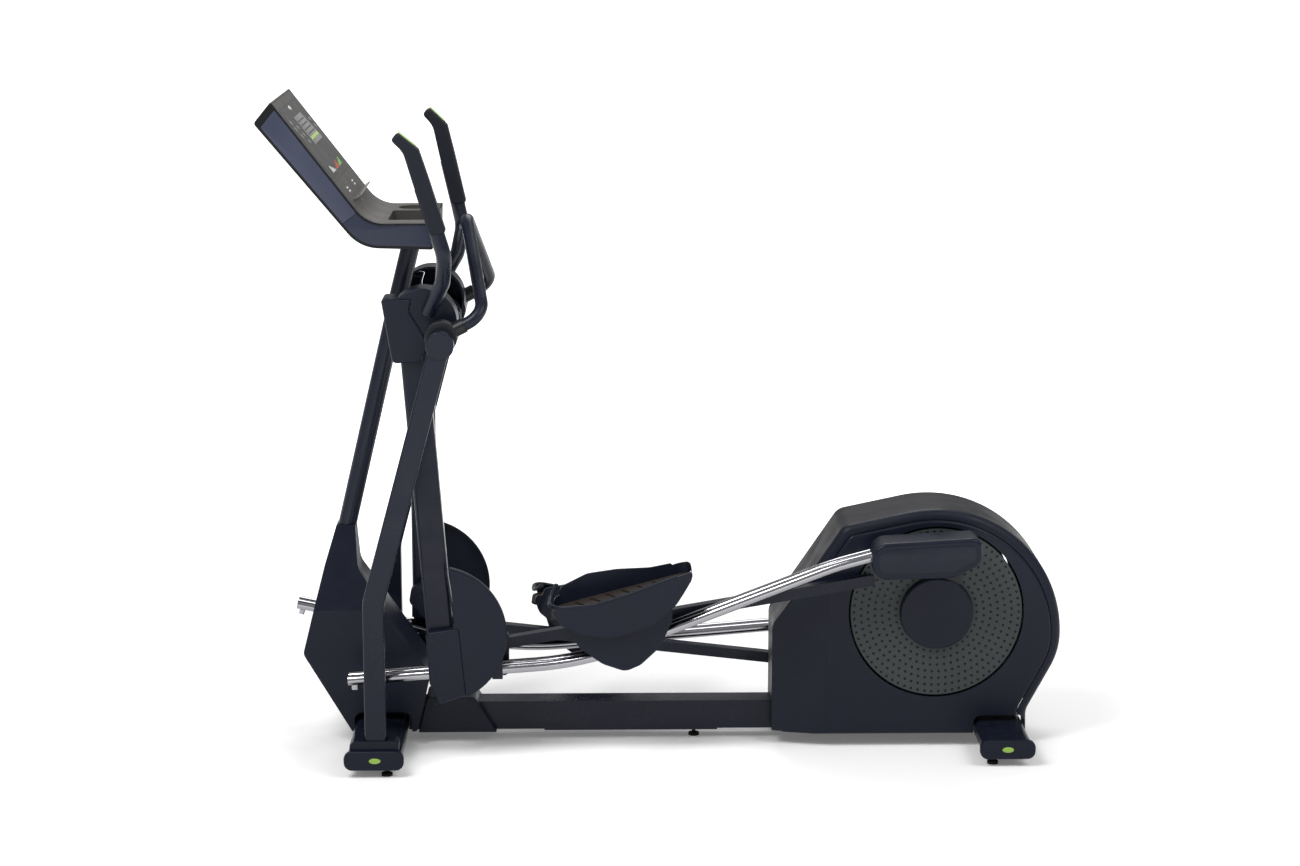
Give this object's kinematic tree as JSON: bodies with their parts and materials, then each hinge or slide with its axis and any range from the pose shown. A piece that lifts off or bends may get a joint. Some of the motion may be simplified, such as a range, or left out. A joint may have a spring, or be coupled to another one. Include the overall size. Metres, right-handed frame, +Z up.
{
  "type": "elliptical trainer",
  "caption": "Stationary elliptical trainer with rocking handlebars, tilting pedals on guide rails, a rear drive unit and an inclined console",
  "frame": {"origin": "on the floor, at the middle of the footprint's bounding box", "axes": "+X towards the drive unit at the rear, -X towards the console; +Y to the right of a user who faces the console; +Z up"},
  "size_m": [2.156, 0.77, 1.7816],
  "materials": {
    "navy_paint": "satin",
    "navy_plastic": "satin",
    "dark_plastic": "matte",
    "grey_plastic": "matte",
    "disc_plastic": "satin",
    "tread_rubber": "matte",
    "grip_rubber": "matte",
    "foot_rubber": "matte",
    "chrome": "polished",
    "steel": "satin",
    "black_steel": "satin",
    "belt_rubber": "matte",
    "pulley": "satin",
    "iron": "matte",
    "board": "matte",
    "clear_plastic": "clear",
    "display": "gloss"
  },
  "bodies": {
    "frame": {"base_beam": "navy_paint", "front_stabiliser": "navy_paint", "rear_stabiliser": "navy_paint", "stabiliser_end_caps": "dark_plastic", "levelling_feet": "foot_rubber", "mast": "navy_paint", "pivot_axle": "steel", "axle_spacers": "black_steel", "side_leg_left": "navy_paint", "side_leg_right": "navy_paint", "leg_foot_pads": "navy_plastic", "handlebar_clamps": "black_steel", "fixed_handlebar": "navy_paint", "mast_shroud_left": "navy_plastic", "mast_shroud_right": "navy_plastic", "base_cover": "navy_plastic", "drive_spine_cover": "dark_plastic", "drive_side_left": "navy_plastic", "drive_side_right": "navy_plastic", "drive_frame": "black_steel", "shaft_bearings": "steel", "drive_electronics": "board", "drive_belt": "belt_rubber", "console_housing": "navy_plastic", "console_face": "grey_plastic", "console_shelf": "grey_plastic", "display_panel": "display", "reading_ledge": "clear_plastic", "console_board": "board"},
    "crank": {"crank_axle": "steel", "crank_discs": "disc_plastic", "hub_covers": "dark_plastic", "drive_pulley": "pulley"},
    "flywheel_body": {"flywheel": "iron"},
    "swing_left_body": {"arm_tube_left": "navy_paint", "arm_hub_left": "navy_plastic", "arm_casing_left": "navy_plastic", "handle_tube_left": "navy_paint", "handle_grip_left": "grip_rubber", "lower_block_left": "navy_plastic", "pivot_cover_left": "navy_plastic"},
    "link_left_body": {"pedal_link_left": "navy_paint", "pedal_tray_left": "navy_plastic", "pedal_tread_left": "tread_rubber", "pedal_skirt_left": "navy_plastic"},
    "rail_left_body": {"guide_rails_left": "chrome", "link_cover_left": "navy_plastic"},
    "swing_right_body": {"arm_tube_right": "navy_paint", "arm_hub_right": "navy_plastic", "arm_casing_right": "navy_plastic", "handle_tube_right": "navy_paint", "handle_grip_right": "grip_rubber", "lower_block_right": "navy_plastic", "pivot_cover_right": "navy_plastic"},
    "link_right_body": {"pedal_link_right": "navy_paint", "pedal_tray_right": "navy_plastic", "pedal_tread_right": "tread_rubber", "pedal_skirt_right": "navy_plastic"},
    "rail_right_body": {"guide_rails_right": "chrome", "link_cover_right": "navy_plastic"}
  },
  "joints": [
    {"name": "swing_left", "type": "hinge", "parent": "frame", "child": "swing_left_body", "pos_m": [-0.597, -0.19, 1.178], "axis": [0, -1, 0], "range_deg": [-13, 11]},
    {"name": "swing_right", "type": "hinge", "parent": "frame", "child": "swing_right_body", "pos_m": [-0.597, 0.19, 1.178], "axis": [0, -1, 0], "range_deg": [-11, 13]},
    {"name": "beam_left", "type": "hinge", "parent": "swing_left_body", "child": "link_left_body", "pos_m": [-0.615, -0.167, 0.364], "axis": [0, -1, 0], "range_deg": [-11, 13]},
    {"name": "beam_right", "type": "hinge", "parent": "swing_right_body", "child": "link_right_body", "pos_m": [-0.68022, 0.167, 0.36807], "axis": [0, -1, 0], "range_deg": [-13, 11]},
    {"name": "rail_slide_left", "type": "slide", "parent": "link_left_body", "child": "rail_left_body", "axis": [-0.9973, 0, -0.0732], "range_m": [0, 0.088]},
    {"name": "rail_slide_right", "type": "slide", "parent": "link_right_body", "child": "rail_right_body", "axis": [-0.9778, 0, 0.2096], "range_m": [-0.088, 0]},
    {"name": "crank_spin", "type": "hinge", "parent": "frame", "child": "crank", "pos_m": [0.734, 0, 0.384], "axis": [0, -1, 0], "continuous": true},
    {"name": "flywheel_spin", "type": "hinge", "parent": "frame", "child": "flywheel_body", "pos_m": [0.43, 0, 0.24], "axis": [0, -1, 0], "continuous": true}
  ],
  "couplings": [
    {"joint": "swing_right", "follows": "swing_left", "ratio": -1},
    {"joint": "beam_left", "follows": "swing_left", "ratio": -1},
    {"joint": "beam_right", "follows": "swing_left", "ratio": 1},
    {"joint": "rail_slide_right", "follows": "rail_slide_left", "ratio": -1},
    {"joint": "flywheel_spin", "follows": "crank_spin", "ratio": 5}
  ]
}
